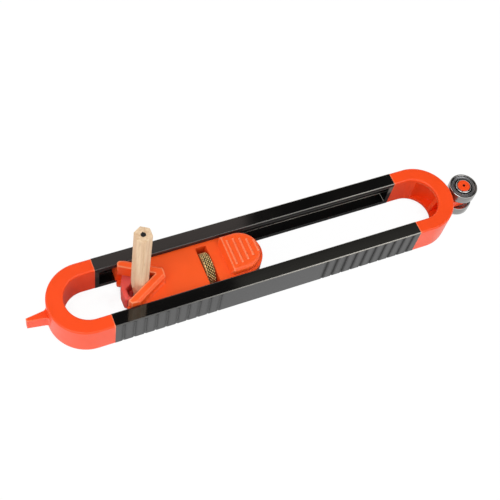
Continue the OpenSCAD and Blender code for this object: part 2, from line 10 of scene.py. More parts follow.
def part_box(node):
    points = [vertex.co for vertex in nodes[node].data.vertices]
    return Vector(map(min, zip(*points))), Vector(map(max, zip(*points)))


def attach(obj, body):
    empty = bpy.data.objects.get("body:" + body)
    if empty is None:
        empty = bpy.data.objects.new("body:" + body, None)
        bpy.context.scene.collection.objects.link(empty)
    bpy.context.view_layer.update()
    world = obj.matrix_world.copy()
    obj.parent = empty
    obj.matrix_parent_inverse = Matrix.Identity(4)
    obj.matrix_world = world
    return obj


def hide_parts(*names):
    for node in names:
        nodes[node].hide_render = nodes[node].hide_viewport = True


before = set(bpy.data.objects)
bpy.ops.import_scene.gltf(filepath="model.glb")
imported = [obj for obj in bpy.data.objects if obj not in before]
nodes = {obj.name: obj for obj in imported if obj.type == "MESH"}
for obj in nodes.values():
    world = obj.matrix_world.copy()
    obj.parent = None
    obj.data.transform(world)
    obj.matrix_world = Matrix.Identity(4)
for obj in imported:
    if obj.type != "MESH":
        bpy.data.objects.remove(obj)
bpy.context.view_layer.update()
scene = bpy.context.scene
MM = 0.001
TURN = 2 * math.pi
# A mesh attribute that materials read: how far up the knurl, or whether the knife has cut there
LEVEL = "level"


def middle(name):
    """The middle of a CAD node's box, in millimetres."""
    low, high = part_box(name)
    return (low + high) / (2 * MM)


# Places on the tool, in millimetres
AXLE_X = middle("upper_outer_ring").x
PENCIL_X = middle("pencil_wood").x
WHEEL_X = middle("thumbwheel").x
RAIL_X = middle("near_rail").x
MID_Z = 8.5
UPPER_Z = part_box("upper_outer_ring")[0].z / MM
LOWER_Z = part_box("lower_outer_ring")[0].z / MM
BEARING_W = 5.0


# Colour and node helpers

def linear(red, green, blue):
    """A colour given as 0 to 255 screen values, in the linear values that shaders take."""
    def one(value):
        value /= 255
        return value / 12.92 if value <= 0.04045 else ((value + 0.055) / 1.055) ** 2.4
    return (one(red), one(green), one(blue), 1)


def darkened(colour, share):
    """A colour whose red, green and blue are multiplied by a share."""
    return tuple(share * c for c in colour[:3]) + (1,)


def add(tree, kind, inputs=None, **settings):
    """A node with its settings and its inputs, each a value or another node's socket."""
    node = tree.nodes.new(kind)
    for name, value in settings.items():
        setattr(node, name, value)
    for name, value in (inputs or {}).items():
        if isinstance(value, bpy.types.NodeSocket):
            tree.links.new(value, node.inputs[name])
        else:
            node.inputs[name].default_value = value
    return node


def math_node(tree, operation, first, second=0.0):
    """The result of one operation on one or two values."""
    return add(tree, "ShaderNodeMath", {0: first, 1: second}, operation=operation).outputs[0]


def fold(tree, operation, values):
    """The result of an operation taken along a row of values."""
    result = values[0]
    for value in values[1:]:
        result = math_node(tree, operation, result, value)
    return result


def product(tree, *values):
    """The values multiplied together."""
    return fold(tree, "MULTIPLY", values)


def largest(tree, *values):
    """The largest of the values."""
    return fold(tree, "MAXIMUM", values)


def gap_to(tree, value, level):
    """How far a value is from a level, either way."""
    return math_node(tree, "ABSOLUTE", math_node(tree, "SUBTRACT", value, level))


def split(tree, place):
    """The three parts of a place or direction."""
    return tuple(add(tree, "ShaderNodeSeparateXYZ", {0: place}).outputs)


def spread(tree, value, low, high, to_low, to_high):
    """A value moved from one range to another, held at the ends."""
    node = add(tree, "ShaderNodeMapRange", {0: value, 1: low, 2: high, 3: to_low, 4: to_high})
    return node.outputs[0]


def rise(tree, value, low, high):
    """A mask that goes from 0 at low to 1 at high."""
    return spread(tree, value, low, high, 0, 1)


def fall(tree, value, low, high):
    """A mask that goes from 1 at low to 0 at high."""
    return spread(tree, value, low, high, 1, 0)


def vary(tree, pattern, low, high):
    """A noise pattern, most of which lies between 0.3 and 0.7, moved to another range."""
    return spread(tree, pattern, 0.3, 0.7, low, high)


def noise(tree, place, scale, detail=2.0, roughness=0.5):
    """A cloudy pattern; scale is in cells per unit of the coordinates."""
    node = add(
        tree, "ShaderNodeTexNoise",
        {"Vector": place, "Scale": scale, "Detail": detail, "Roughness": roughness},
    )
    return node.outputs[0]


def stretched(tree, place, factors):
    """Coordinates scaled by a different factor on each axis."""
    return add(tree, "ShaderNodeMapping", {"Vector": place, "Scale": factors}).outputs[0]


def mix_colour(tree, share, first, second):
    """The first colour where the share is 0 and the second where it is 1."""
    node = add(tree, "ShaderNodeMix", {0: share, 6: first, 7: second}, data_type="RGBA")
    return node.outputs[2]


def mix_value(tree, share, first, second):
    """The first value where the share is 0 and the second where it is 1."""
    node = add(tree, "ShaderNodeMix", {0: share, 2: first, 3: second}, data_type="FLOAT")
    return node.outputs[0]


def bump(tree, height, distance, strength=1.0, normal=None):
    """A normal tilted by a height pattern; distance is in millimetres."""
    inputs = {"Height": height, "Distance": distance * MM, "Strength": strength}
    if normal is not None:
        inputs["Normal"] = normal
    return add(tree, "ShaderNodeBump", inputs).outputs[0]


def soft_edges(tree, radius):
    """A normal that rounds sharp edges, as a mould leaves them."""
    return add(tree, "ShaderNodeBevel", {"Radius": radius * MM}, samples=6).outputs[0]


def convex_edges(tree, reach, low, high):
    """A mask that is 1 on outward edges and ridges and 0 on flats and in corners."""
    inner = add(
        tree, "ShaderNodeAmbientOcclusion", {"Distance": reach * MM},
        samples=8, inside=True, only_local=True,
    )
    return fall(tree, inner.outputs["AO"], low, high)


def level_mask(tree):
    """The level that a piece's mesh carries, from 0 to 1."""
    return add(tree, "ShaderNodeAttribute", attribute_name=LEVEL).outputs["Fac"]


def new_material(name, colour, **sockets):
    """A material with one Principled shader.

    Returns the material, its tree, the shader and object coordinates.
    """
    material = bpy.data.materials.new(name)
    material.use_nodes = True
    material.diffuse_color = colour
    tree = material.node_tree
    shader = tree.nodes["Principled BSDF"]
    for socket, value in sockets.items():
        shader.inputs[socket.replace("_", " ")].default_value = value
    shader.inputs["Base Color"].default_value = colour
    place = add(tree, "ShaderNodeTexCoord").outputs["Object"]
    return material, tree, shader, place


def drive(tree, shader, colour, roughness, normal):
    """Links patterns to the shader's colour, roughness and normal; None leaves one as it is."""
    sources = {"Base Color": colour, "Roughness": roughness, "Normal": normal}
    for socket, source in sources.items():
        if source is not None:
            tree.links.new(source, shader.inputs[socket])


# Materials

def moulded_plastic(name, colour, roughness, edge, edge_highlight=None, clear=0.0):
    """Satin moulded plastic: faint colour drift, uneven gloss, fine spark-eroded grain, soft edges.

    A painted highlight on convex edges is given by its paler tone, the reach of the mask that finds
    the edges, the two levels between which it fades, and the two heights between which it starts.
    Clear lets light into the plastic.
    """
    material, tree, shader, place = new_material(
        name, colour, IOR=1.43, Subsurface_Weight=clear, Subsurface_Scale=2 * MM)
    drift = noise(tree, place, scale=90, detail=3)
    tone = mix_colour(tree, vary(tree, drift, 0, 1), darkened(colour, 0.94), colour)
    if edge_highlight:
        low_z, high_z = edge_highlight["heights"]
        x, _, z = split(tree, place)
        # Painted highlight on the upper edges only, up to the roller arm
        arm_start, arm_full = 92 * MM, 95 * MM
        highlit_zone = product(
            tree, rise(tree, z, low_z * MM, high_z * MM), fall(tree, x, arm_start, arm_full))
        patchy = spread(tree, noise(tree, place, scale=160), 0.3, 0.6, 0.65, 1)
        edges = convex_edges(tree, edge_highlight["reach"], *edge_highlight["fade"])
        tone = mix_colour(tree, product(tree, edges, highlit_zone, patchy), tone, edge_highlight["tone"])
    # Painted shade: a dark disc over the bore in the axle's head and its rim
    bore_r, bore_rim, painted_bore_shade = 0.68 * MM, 0.76 * MM, linear(110, 16, 6)
    from_axle = add(
        tree, "ShaderNodeVectorMath",
        {0: stretched(tree, place, (1, 1, 0)), 1: (AXLE_X * MM, 0, 0)}, operation="DISTANCE",
    )
    bore = fall(tree, from_axle.outputs["Value"], bore_r, bore_rim)
    tone = mix_colour(tree, bore, tone, painted_bore_shade)
    gloss = noise(tree, place, scale=130)
    grain = noise(tree, place, scale=5200)
    peel = noise(tree, place, scale=420, detail=1)
    normal = bump(tree, grain, 0.012, 0.5, soft_edges(tree, edge))
    normal = bump(tree, peel, 0.02, 0.5, normal)
    drive(tree, shader, tone, vary(tree, gloss, roughness - 0.03, roughness + 0.03), normal)
    return material


def rail_plastic():
    """Glossy black rails: clear tops, satin grip faces outside, painted grey highlights along the
    edges.
    """
    # The rail's section, its channel and its grip, in millimetres, as in the solids
    outer_face, inner_face, top_z, edge_r = 17.5, 11.0, 17.0, 0.5
    back_y, floor_z, roof_z, end_x = 16.0, 2.5, 14.5, RAIL_X + 73
    first_groove, last_groove, groove_pitch, pit_z = 26.25, 71.25, 5.0, 15.0
    # The grip is fainter in the left half than in the right one
    left_x, right_x = -20, 20
    groove_rough, lip_rough, highlight_rough, coarser = 0.8, 0.55, 0.5, 0.26
    material, tree, shader, place = new_material("rail_black", linear(14, 14, 14), IOR=1.69)
    smudge = noise(tree, place, scale=45, detail=4)
    rubs = noise(tree, stretched(tree, place, (60, 4200, 4200)), scale=1, detail=3)
    fine = noise(tree, stretched(tree, place, (5200, 5200, 900)), scale=1)
    x, y, z = split(tree, stretched(tree, place, (1 / MM, 1 / MM, 1 / MM)))
    along = gap_to(tree, x, RAIL_X)
    across = math_node(tree, "ABSOLUTE", y)
    side = rise(tree, across, outer_face - 0.08, outer_face - 0.01)
    lip = fall(tree, across, inner_face + 0.1, inner_face + 0.3)
    # Inside the grip grooves, with the pits at their upper ends
    groove = product(
        tree,
        fall(tree, across, outer_face - 0.2, outer_face - 0.08),
        rise(tree, across, back_y - 0.1, back_y),
        fall(tree, z, top_z - 0.7, top_z - 0.6),
        rise(tree, z, 0.3, 0.6),
        largest(
            tree, rise(tree, z, pit_z - 0.2, pit_z), spread(tree, x, left_x, right_x, 0.48, 1)),
    )
    # The coarser skin beside the grooves
    from_first = math_node(tree, "SUBTRACT", along, first_groove)
    to_groove = math_node(tree, "PINGPONG", from_first, groove_pitch / 2)
    beside = product(
        tree,
        fall(tree, to_groove, 0.6, 1.6),
        rise(tree, along, first_groove - 2.75, first_groove - 1.75),
        fall(tree, along, last_groove + 2.25, last_groove + 2.75),
        spread(tree, x, left_x, right_x, 0.45, 1),
    )
    gloss = math_node(tree, "ADD", spread(tree, smudge, 0.35, 0.75, 0.05, 0.10),
                      spread(tree, rubs, 0.55, 0.8, 0.0, 0.07))
    satin = math_node(tree, "ADD", vary(tree, fine, 0.32, 0.44), product(tree, beside, coarser))
    rough = mix_value(tree, side, gloss, satin)
    rough = mix_value(tree, lip, rough, lip_rough)
    rough = mix_value(tree, groove, rough, groove_rough)
    # Painted highlight on the rounded top edges, strongest towards the rollers
    over = math_node(tree, "MAXIMUM", math_node(tree, "SUBTRACT", z, top_z - edge_r), 0)
    outer = product(tree, math_node(tree, "SUBTRACT", across, outer_face - edge_r), over)
    outer = product(tree, rise(tree, outer, 0.04, 0.11), spread(tree, x, -50, 10, 0.15, 1))
    inner = product(tree, math_node(tree, "SUBTRACT", inner_face + edge_r, across), over)
    inner = product(tree, rise(tree, inner, 0.05, 0.12), spread(tree, x, -20, 60, 0.1, 0.75))
    # And on the upper lip of the channel's mouth
    mouth = product(
        tree,
        fall(tree, z, roof_z + 0.22, roof_z + 0.34),
        rise(tree, z, 9, 11),
        spread(tree, x, -30, 30, 0.05, 0.35),
        lip,
    )
    # Painted highlight where the channel's bottom corners catch the light, at its back wall and its
    # end by the rollers
    corner = product(
        tree,
        largest(tree, rise(tree, across, back_y - 0.3, back_y - 0.15),
                rise(tree, x, end_x - 0.27, end_x - 0.17)),
        fall(tree, z, floor_z + 0.2, floor_z + 0.35),
        rise(tree, z, floor_z - 0.3, floor_z - 0.1),
        fall(tree, across, back_y + 0.1, back_y + 0.2),
        rise(tree, across, inner_face + 0.2, inner_face + 0.4),
        spread(tree, x, -30, 20, 0.1, 0.85),
    )
    uneven = spread(tree, smudge, 0.3, 0.6, 0.7, 1)
    # Painted highlight: these edges and corners are painted pale grey, patchily, and made less
    # glossy
    painted_highlight = product(tree, largest(tree, outer, inner, mouth, corner), uneven)
    rough = mix_value(tree, painted_highlight, rough, highlight_rough)
    tone = mix_colour(tree, vary(tree, smudge, 0, 1), linear(9, 9, 9), linear(16, 15, 14))
    tone = mix_colour(tree, painted_highlight, tone, linear(182, 178, 168))
    normal = bump(tree, product(tree, fine, side), 0.02, 0.6, soft_edges(tree, 0.15))
    normal = bump(tree, rubs, 0.002, 0.3, normal)
    drive(tree, shader, tone, rough, normal)
    return material


def turned_metal(name, colour, roughness, ring_depth=0.004):
    """Metal turned about the rollers' axis: fine circular lathe lines and uneven gloss."""
    running_r, running_full = 6.9 * MM, 6.97 * MM
    # Middle radius and half width of the gaps at both edges of the shields
    shield_gaps, fade, painted_gap_shade = ((4.19, 0.31), (5.98, 0.14)), 0.06, linear(26, 25, 24)
    material, tree, shader, place = new_material(name, colour, Metallic=1.0)
    x, y, z = split(tree, place)
    from_axis = math_node(tree, "SUBTRACT", x, AXLE_X * MM)
    squares = math_node(tree, "ADD", product(tree, from_axis, from_axis), product(tree, y, y))
    radius = math_node(tree, "SQRT", squares)
    profile = add(tree, "ShaderNodeCombineXYZ", {0: radius, 1: z}).outputs[0]
    lines = noise(tree, profile, scale=9000)
    cloud = noise(tree, place, scale=600, detail=3)
    tone = mix_colour(tree, vary(tree, lines, 0, 1), darkened(colour, 0.8), colour)
    # Painted shade: the running face is darkened to half the colour of the rings' ends
    painted_side_shade = rise(tree, radius, running_r, running_full)
    tone = mix_colour(tree, painted_side_shade, tone, darkened(colour, 0.5))
    # Painted shade: dark rings over the gaps at both edges of the shields
    for middle_r, half in shield_gaps:
        off = gap_to(tree, radius, middle_r * MM)
        tone = mix_colour(tree, fall(tree, off, half * MM, (half + fade) * MM), tone, painted_gap_shade)
    rough = vary(tree, cloud, roughness - 0.04, roughness + 0.06)
    drive(tree, shader, tone, rough, bump(tree, lines, ring_depth, 0.5))
    return material


def plain_steel(name, colour, roughness):
    """Plated steel of small hardware, with faint scuffs."""
    material, tree, shader, place = new_material(name, colour, Metallic=1.0)
    scuffs = noise(tree, place, scale=2500, detail=4)
    rough = vary(tree, scuffs, roughness - 0.06, roughness + 0.1)
    drive(tree, shader, None, rough, bump(tree, scuffs, 0.004, 0.4))
    return material


def knurled_brass():
    """Brass with a painted highlight on the knurl's crests and painted shade in its dull valleys.
    """
    crest, painted_valley_shade = linear(255, 228, 156), linear(50, 35, 13)
    material, tree, shader, place = new_material("brass", crest, Metallic=0.4)
    tarnish = noise(tree, place, scale=900, detail=3)
    knurl_light = math_node(tree, "ADD", level_mask(tree), vary(tree, tarnish, -0.18, 0.18))
    # Painted light: crests are painted pale and valleys dark, following the knurl's level
    tone = mix_colour(tree, rise(tree, knurl_light, 0.25, 0.7), painted_valley_shade, crest)
    rough = spread(tree, knurl_light, 0.1, 0.9, 0.5, 0.34)
    drive(tree, shader, tone, rough, bump(tree, tarnish, 0.006, 0.4))
    return material


def raw_wood():
    """Unpainted pencil wood: long grain, fine pores, paler and darker streaks."""
    pale, streak, pore = linear(238, 212, 178), linear(216, 180, 142), linear(160, 118, 80)
    fresh_and_shaded = linear(218, 160, 122)
    material, tree, shader, place = new_material("pencil_wood", pale)
    along_grain = stretched(tree, place, (900, 900, 26))
    long_grain = noise(tree, along_grain, scale=1, detail=4, roughness=0.6)
    pores = noise(tree, stretched(tree, place, (4200, 4200, 190)), scale=1, detail=3)
    tone = mix_colour(tree, rise(tree, long_grain, 0.35, 0.68), streak, pale)
    # The sharpened end is darker and redder: partly the fresher wood of the cut, partly painted
    # shade with red bounce light from the jaw
    tone = mix_colour(tree, level_mask(tree), tone, fresh_and_shaded)
    tone = mix_colour(tree, spread(tree, pores, 0.58, 0.74, 0, 0.55), tone, pore)
    normal = bump(tree, pores, 0.03, 0.5)
    normal = bump(tree, long_grain, 0.03, 0.4, normal)
    drive(tree, shader, tone, vary(tree, pores, 0.52, 0.68), normal)
    return material


def graphite():
    """Dull black pencil lead with a fine grain."""
    material, tree, shader, place = new_material("pencil_lead", linear(12, 12, 13))
    grain = noise(tree, place, scale=6000, detail=3)
    drive(tree, shader, None, vary(tree, grain, 0.5, 0.7), bump(tree, grain, 0.02, 0.6))
    return material


# Stage

def make_camera():
    """The photograph's view, fitted to the frame's edges."""
    right = Vector((0.91651634, -0.37849829, 0.12937094))
    up = Vector((0.27150792, 0.82618047, 0.4936692))
    back = Vector((-0.29373669, -0.41733065, 0.85997319))
    data = bpy.data.cameras.new("camera")
    data.sensor_width = 36
    data.lens = 73.36
    camera = bpy.data.objects.new("camera", data)
    scene.collection.objects.link(camera)
    turn = Matrix((right, up, back)).transposed().to_4x4()
    turn.translation = (-0.144173, -0.193276, 0.413715)
    camera.matrix_world = turn
    scene.camera = camera


def softbox(name, place, size, radiance, tint=(1, 1, 1), aim=(0, 0, 0)):
    """A rectangular studio lamp that faces a point, as bright per area as its radiance."""
    data = bpy.data.lights.new(name, "AREA")
    data.shape = "RECTANGLE"
    data.size, data.size_y = size
    data.energy = radiance * math.pi * size[0] * size[1]
    data.color = tint
    lamp = bpy.data.objects.new(name, data)
    scene.collection.objects.link(lamp)
    lamp.location = place
    lamp.rotation_euler = (Vector(aim) - Vector(place)).to_track_quat("-Z", "Y").to_euler()


def make_world():
    """A studio that is white round the sides and dark overhead."""
    world = bpy.data.worlds.new("studio")
    scene.world = world
    world.use_nodes = True
    tree = world.node_tree
    direction = add(tree, "ShaderNodeTexCoord").outputs["Generated"]
    height = split(tree, direction)[2]
    ramp = add(tree, "ShaderNodeValToRGB", {0: height})
    ramp.color_ramp.elements[0].position = 0.30
    ramp.color_ramp.elements[0].color = (1, 1, 1, 1)
    ramp.color_ramp.elements[1].position = 0.60
    ramp.color_ramp.elements[1].color = (0.02, 0.02, 0.02, 1)
    tree.links.new(ramp.outputs[0], tree.nodes["Background"].inputs["Color"])


def make_floor():
    """A plain floor that the camera and reflections see as white, darker in narrow wells.

    Reflections also see it darker between the rails.
    """
    half, below, well = 4.0, 0.05 * MM, 24 * MM
    white, shaded = 1.03, 0.15
    # Where the shade between the end caps and the rails starts to fade, and where it ends
    cap_x, past_x, rail_y, past_y = 92 * MM, 96 * MM, 11 * MM, 14 * MM
    mesh = bpy.data.meshes.new("floor")
    corners = [(-half, -half, 0), (half, -half, 0), (half, half, 0), (-half, half, 0)]
    mesh.from_pydata(corners, [], [(0, 1, 2, 3)])
    floor = bpy.data.objects.new("floor", mesh)
    floor.location.z = -below
    scene.collection.objects.link(floor)
    material = bpy.data.materials.new("floor")
    material.use_nodes = True
    tree = material.node_tree
    tree.nodes.remove(tree.nodes["Principled BSDF"])
    paint = add(tree, "ShaderNodeBsdfDiffuse", {"Color": (0.8, 0.8, 0.8, 1)})
    ray = add(tree, "ShaderNodeLightPath").outputs
    x, y, _ = split(tree, add(tree, "ShaderNodeTexCoord").outputs["Object"])
    along, across = math_node(tree, "ABSOLUTE", x), math_node(tree, "ABSOLUTE", y)
    shade = product(
        tree,
        fall(tree, along, cap_x, past_x),
        fall(tree, across, rail_y, past_y),
        ray["Is Glossy Ray"],
    )
    strength = spread(tree, shade, 0, 1, white, shaded)
    glow = add(tree, "ShaderNodeEmission", {"Color": (1, 1, 1, 1), "Strength": strength})
    seen = largest(
        tree, ray["Is Camera Ray"], ray["Is Glossy Ray"], ray["Is Transmission Ray"])
    openness = add(tree, "ShaderNodeAmbientOcclusion", {"Distance": well}, samples=8)
    share = product(tree, seen, spread(tree, openness.outputs["AO"], 0.08, 0.22, 0.05, 0.94))
    mixed = add(tree, "ShaderNodeMixShader", {0: share, 1: paint.outputs[0], 2: glow.outputs[0]})
    tree.links.new(mixed.outputs[0], tree.nodes["Material Output"].inputs["Surface"])
    mesh.materials.append(material)


# Meshes that take the place of plain CAD nodes, given in millimetres

def make_piece(name, verts, faces, material, body, replaced, sharp=35, levels=None):
    """A new piece that stands for a CAD node and moves with its body.

    Edges sharper than an angle in degrees stay sharp. Levels are one value for each vertex.
    """
    mesh = bpy.data.meshes.new(name)
    mesh.from_pydata([tuple(MM * c for c in v) for v in verts], [], faces)
    if levels is not None:
        mesh.attributes.new(LEVEL, "FLOAT", "POINT").data.foreach_set("value", levels)
    work = bmesh.new()
    work.from_mesh(mesh)
    bmesh.ops.recalc_face_normals(work, faces=work.faces)
    work.to_mesh(mesh)
    work.free()
    mesh.polygons.foreach_set("use_smooth", [True] * len(mesh.polygons))
    mesh.set_sharp_from_angle(angle=math.radians(sharp))
    mesh.materials.append(material)
    piece = bpy.data.objects.new(name, mesh)
    scene.collection.objects.link(piece)
    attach(piece, body)
    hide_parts(replaced)


def ring_faces(rows, columns, closed=True, first=0):
    """Quads between neighbouring rings of vertices; closed joins the last ring to the first."""
    faces = []
    for row in range(rows if closed else rows - 1):
        below, above = first + row * columns, first + (row + 1) % rows * columns
        for i in range(columns):
            j = (i + 1) % columns
            faces.append((below + i, below + j, above + j, above + i))
    return faces


def turned(profile, columns, x, y, z):
    """Vertices of a profile of radius and height, turned about an upright axis."""
    verts = []
    for radius, height in profile:
        for i in range(columns):
            angle = TURN * i / columns
            verts.append((x + radius * math.cos(angle), y + radius * math.sin(angle), z + height))
    return verts


def race_arc(inward):
    """Points of the round race in a bearing ring, from its upper to its lower edge."""
    centre_r, race_r, land, half_points = 4.75, 1.13, 0.9, 3
    edge = math.asin(land / race_r)
    points = []
    for k in range(2 * half_points + 1):
        angle = (math.pi / 2 - edge) * (1 - k / half_points)
        reach = race_r * math.cos(angle)
        radius = centre_r + (-reach if inward else reach)
        points.append((radius, BEARING_W / 2 + race_r * math.sin(angle)))
    return points


def mirrored(upper_half, arc):
    """A ring's closed profile from its upper half, whose points run from outside to the race."""
    lower_half = [(r, BEARING_W - h) for r, h in reversed(upper_half)]
    return upper_half + arc + lower_half


def make_bearing(level, z, body):
    """Rings with ground chamfers and pressed shields with a curled rim, for one roller."""
    columns, sheet, seat = 96, 0.16, 4.46
    outer = mirrored([(7.0, 4.6), (6.93, 4.82), (6.72, 5.0), (6.3, 5.0), (6.12, 4.92),
                      (6.05, 4.8), (6.05, 4.45), (5.65, 4.45)], race_arc(False))
    inner = mirrored([(2.5, 4.8), (2.7, 5.0), (3.56, 5.0), (3.8, 4.86), (3.85, 4.76)],
                     race_arc(True))
    make_piece(f"{level}_outer_ring_ground", turned(outer, columns, AXLE_X, 0, z),
               ring_faces(len(outer), columns), bearing_steel, body,
               f"{level}_outer_ring")
    make_piece(f"{level}_inner_ring_ground", turned(inner, columns, AXLE_X, 0, z),
               ring_faces(len(inner), columns), bearing_steel, "frame",
               f"{level}_inner_ring")
    face = [(6.04, 4.62), (5.98, 4.72), (5.86, 4.76), (5.74, 4.75), (5.6, 4.71), (4.72, 4.52),
            (4.6, 4.52), (4.5, 4.56), (4.4, 4.62), (4.2, 4.62), (4.08, 4.59), (4.05, 4.54)]
    back = [(r, h - sheet) for r, h in reversed(face)]
    upper = [(r, max(h, seat)) for r, h in face + back]
    lower = [(r, BEARING_W - h) for r, h in upper]
    verts = turned(upper, columns, AXLE_X, 0, z) + turned(lower, columns, AXLE_X, 0, z)
    faces = ring_faces(len(upper), columns)
    faces += ring_faces(len(lower), columns, True, len(upper) * columns)
    make_piece(f"{level}_shields_pressed", verts, faces, shield_steel, body,
               f"{level}_shields")


def make_wheel():
    """The thumbwheel with a real diamond knurl: crests and valleys alternate on its rim."""
    columns, rows, sharp = 64, 6, 20
    crest_r, valley_r, half = 8.0, 7.5, 1.6
    # The profile's points are a radius and a place along the axis; None is the knurled rim
    side = [(2.56, -2.4), (4.38, -2.4), (4.5, -2.28), (4.5, -2.0), (5.0, -2.0), (5.15, -1.9),
            (6.6, -1.9), (6.75, -2.0), (7.3, -2.0), (7.62, -1.8)]
    far_side = [(r, -x) for r, x in reversed(side)]
    rim = [(None, -half + 2 * half * j / (rows - 1)) for j in range(rows)]
    profile = side + rim + far_side
    verts, levels = [], []
    for row, (radius, x) in enumerate(profile):
        for i in range(columns):
            high = (i + row) % 2 == 0
            r = radius or (crest_r if high else valley_r)
            angle = TURN * i / columns
            verts.append((WHEEL_X + x, r * math.cos(angle), MID_Z + r * math.sin(angle)))
            levels.append(0.5 if radius else (1.0 if high else 0.0))
    faces = []
    for row in range(len(profile)):
        below, above = row * columns, (row + 1) % len(profile) * columns
        knurled = len(side) <= row < len(side) + rows - 1
        for i in range(columns):
            j = (i + 1) % columns
            a, b, c, d = below + i, below + j, above + j, above + i
            if not knurled:
                faces.append((a, b, c, d))
            elif (i + row) % 2 == 0:
                faces += [(a, b, d), (b, c, d)]
            else:
                faces += [(a, b, c), (a, c, d)]
    make_piece("thumbwheel_knurled", verts, faces, brass, "wheel", "thumbwheel",
               sharp, levels)


def make_draw_screw():
    """The draw screw: a plain pinned shank, then a rolled thread with a bevelled end."""
    low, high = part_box("draw_screw")
    x0, x1 = low.x / MM, high.x / MM
    columns, pitch, depth, top_r = 24, 0.8, 0.36, 2.49
    shank, nose, bevel, steps = 7.6, 0.4, 0.5, 6
    flank, crest = 2.4, 0.7
    stations = [(x0, top_r - nose, 0), (x0 + nose, top_r, 0), (x0 + shank, top_r, 0)]
    count = round((x1 - bevel - x0 - shank) / pitch * steps)
    for k in range(1, count + 1):
        stations.append((x0 + shank + k * pitch / steps, top_r, min(1, k / steps)))
    stations.append((x1, top_r - bevel, 0))
    verts = []
    for x, radius, share in stations:
        for i in range(columns):
            phase = ((x - x0) / pitch - i / columns) % 1
            cut = depth * share * min(1, max(0, flank * abs(2 * phase - 1) - crest))
            angle = TURN * i / columns
            r = radius - cut
            verts.append((x, r * math.cos(angle), MID_Z + r * math.sin(angle)))
    faces = ring_faces(len(stations), columns, False)
    faces.append(tuple(range(columns)))
    last = (len(stations) - 1) * columns
    faces.append(tuple(range(last, last + columns)))
    make_piece("draw_screw_threaded", verts, faces, hardware, "jaw", "draw_screw")


def nearest(angle, angles):
    """The index of the angle in a list that lies nearest, round the circle."""
    gaps = [abs((angle - a + math.pi) % TURN - math.pi) for a in angles]
    return gaps.index(min(gaps))


def make_cover_screws():
    """Countersunk screws under the slide, each with a cross recess in its head."""
    columns, floor_z, sharp = 24, 0.9, 30
    head_r, head_top, shank_r, end_z, end_bevel = 1.9, 1.8, 1.0, 6.8, 0.4
    arm, bar, recess, taper = 1.15, 0.24, 0.55, 0.8
    # Places along the slide from the pencil's axis, and across it
    spots = [(26.1, 7.5), (26.1, -7.5), (0, -7.5), (9.4, 2.85)]
    profile = [(head_r - 0.12, floor_z), (head_r, floor_z + 0.1), (shank_r + 0.03, head_top),
               (shank_r, head_top + 0.1), (shank_r, end_z - end_bevel),
               (shank_r - end_bevel, end_z)]
    cross = [(arm, -bar), (arm, bar), (bar, bar), (bar, arm), (-bar, arm), (-bar, bar),
             (-arm, bar), (-arm, -bar), (-bar, -bar), (-bar, -arm), (bar, -arm), (bar, -bar)]
    sides = len(cross)
    angles = [math.atan2(cy, cx) % TURN for cx, cy in cross]
    order = sorted(range(sides), key=lambda k: angles[k])
    around = [angles[k] for k in order]
    # Each rim point of the head joins the cross point that lies nearest in angle
    partners = [nearest(TURN * i / columns, around) for i in range(columns)]
    verts, faces = [], []
    for local_x, y in spots:
        x = PENCIL_X + local_x
        first = len(verts)
        verts += turned(profile, columns, x, y, 0)
        faces += ring_faces(len(profile), columns, False, first)
        faces.append(tuple(first + (len(profile) - 1) * columns + i for i in range(columns)))
        mouth = len(verts)
        verts += [(x + cx, y + cy, floor_z) for cx, cy in cross]
        verts += [(x + taper * cx, y + taper * cy, floor_z + recess) for cx, cy in cross]
        for k in range(sides):
            n = (k + 1) % sides
            faces.append((mouth + k, mouth + n, mouth + sides + n, mouth + sides + k))
        faces.append(tuple(mouth + sides + k for k in range(sides)))
        for i in range(columns):
            j = (i + 1) % columns
            k, n = partners[i], partners[j]
            faces.append((first + i, first + j, mouth + order[k]))
            while k != n:
                step = (k + 1) % sides
                faces.append((first + j, mouth + order[step], mouth + order[k]))
                k = step
    make_piece("cover_screws_recessed", verts, faces, hardware, "slide",
               "cover_screws", sharp)


def hexagon_reach(angle, half_flat, corner):
    """Distance from the axis to a hexagon whose corners are rounded, flats facing X."""
    sixth = math.pi / 6
    off = (angle + sixth) % (2 * sixth) - sixth
    flat_end = half_flat * math.tan(sixth) - corner * math.tan(sixth)
    reach = half_flat / math.cos(off)
    if abs(half_flat * math.tan(off)) <= flat_end:
        return reach
    # The corner is an arc about a point on the corner's ray
    centre = (half_flat - corner) / math.cos(sixth)
    side = sixth - abs(off)
    return centre * math.cos(side) + math.sqrt(max(0, corner ** 2 - (centre * math.sin(side)) ** 2))


def evenly(low, high, steps):
    """Values from low to high in even steps."""
    return [low + k * (high - low) / steps for k in range(steps + 1)]


def pencil_rings(rings):
    """Vertices of rings round the pencil's axis.

    Each ring is its radii and its height, or a list of heights.
    """
    verts = []
    for radii, z in rings:
        for i, r in enumerate(radii):
            angle = TURN * i / len(radii)
            height = z[i] if isinstance(z, list) else z
            verts.append((PENCIL_X + r * math.cos(angle), r * math.sin(angle), height))
    return verts


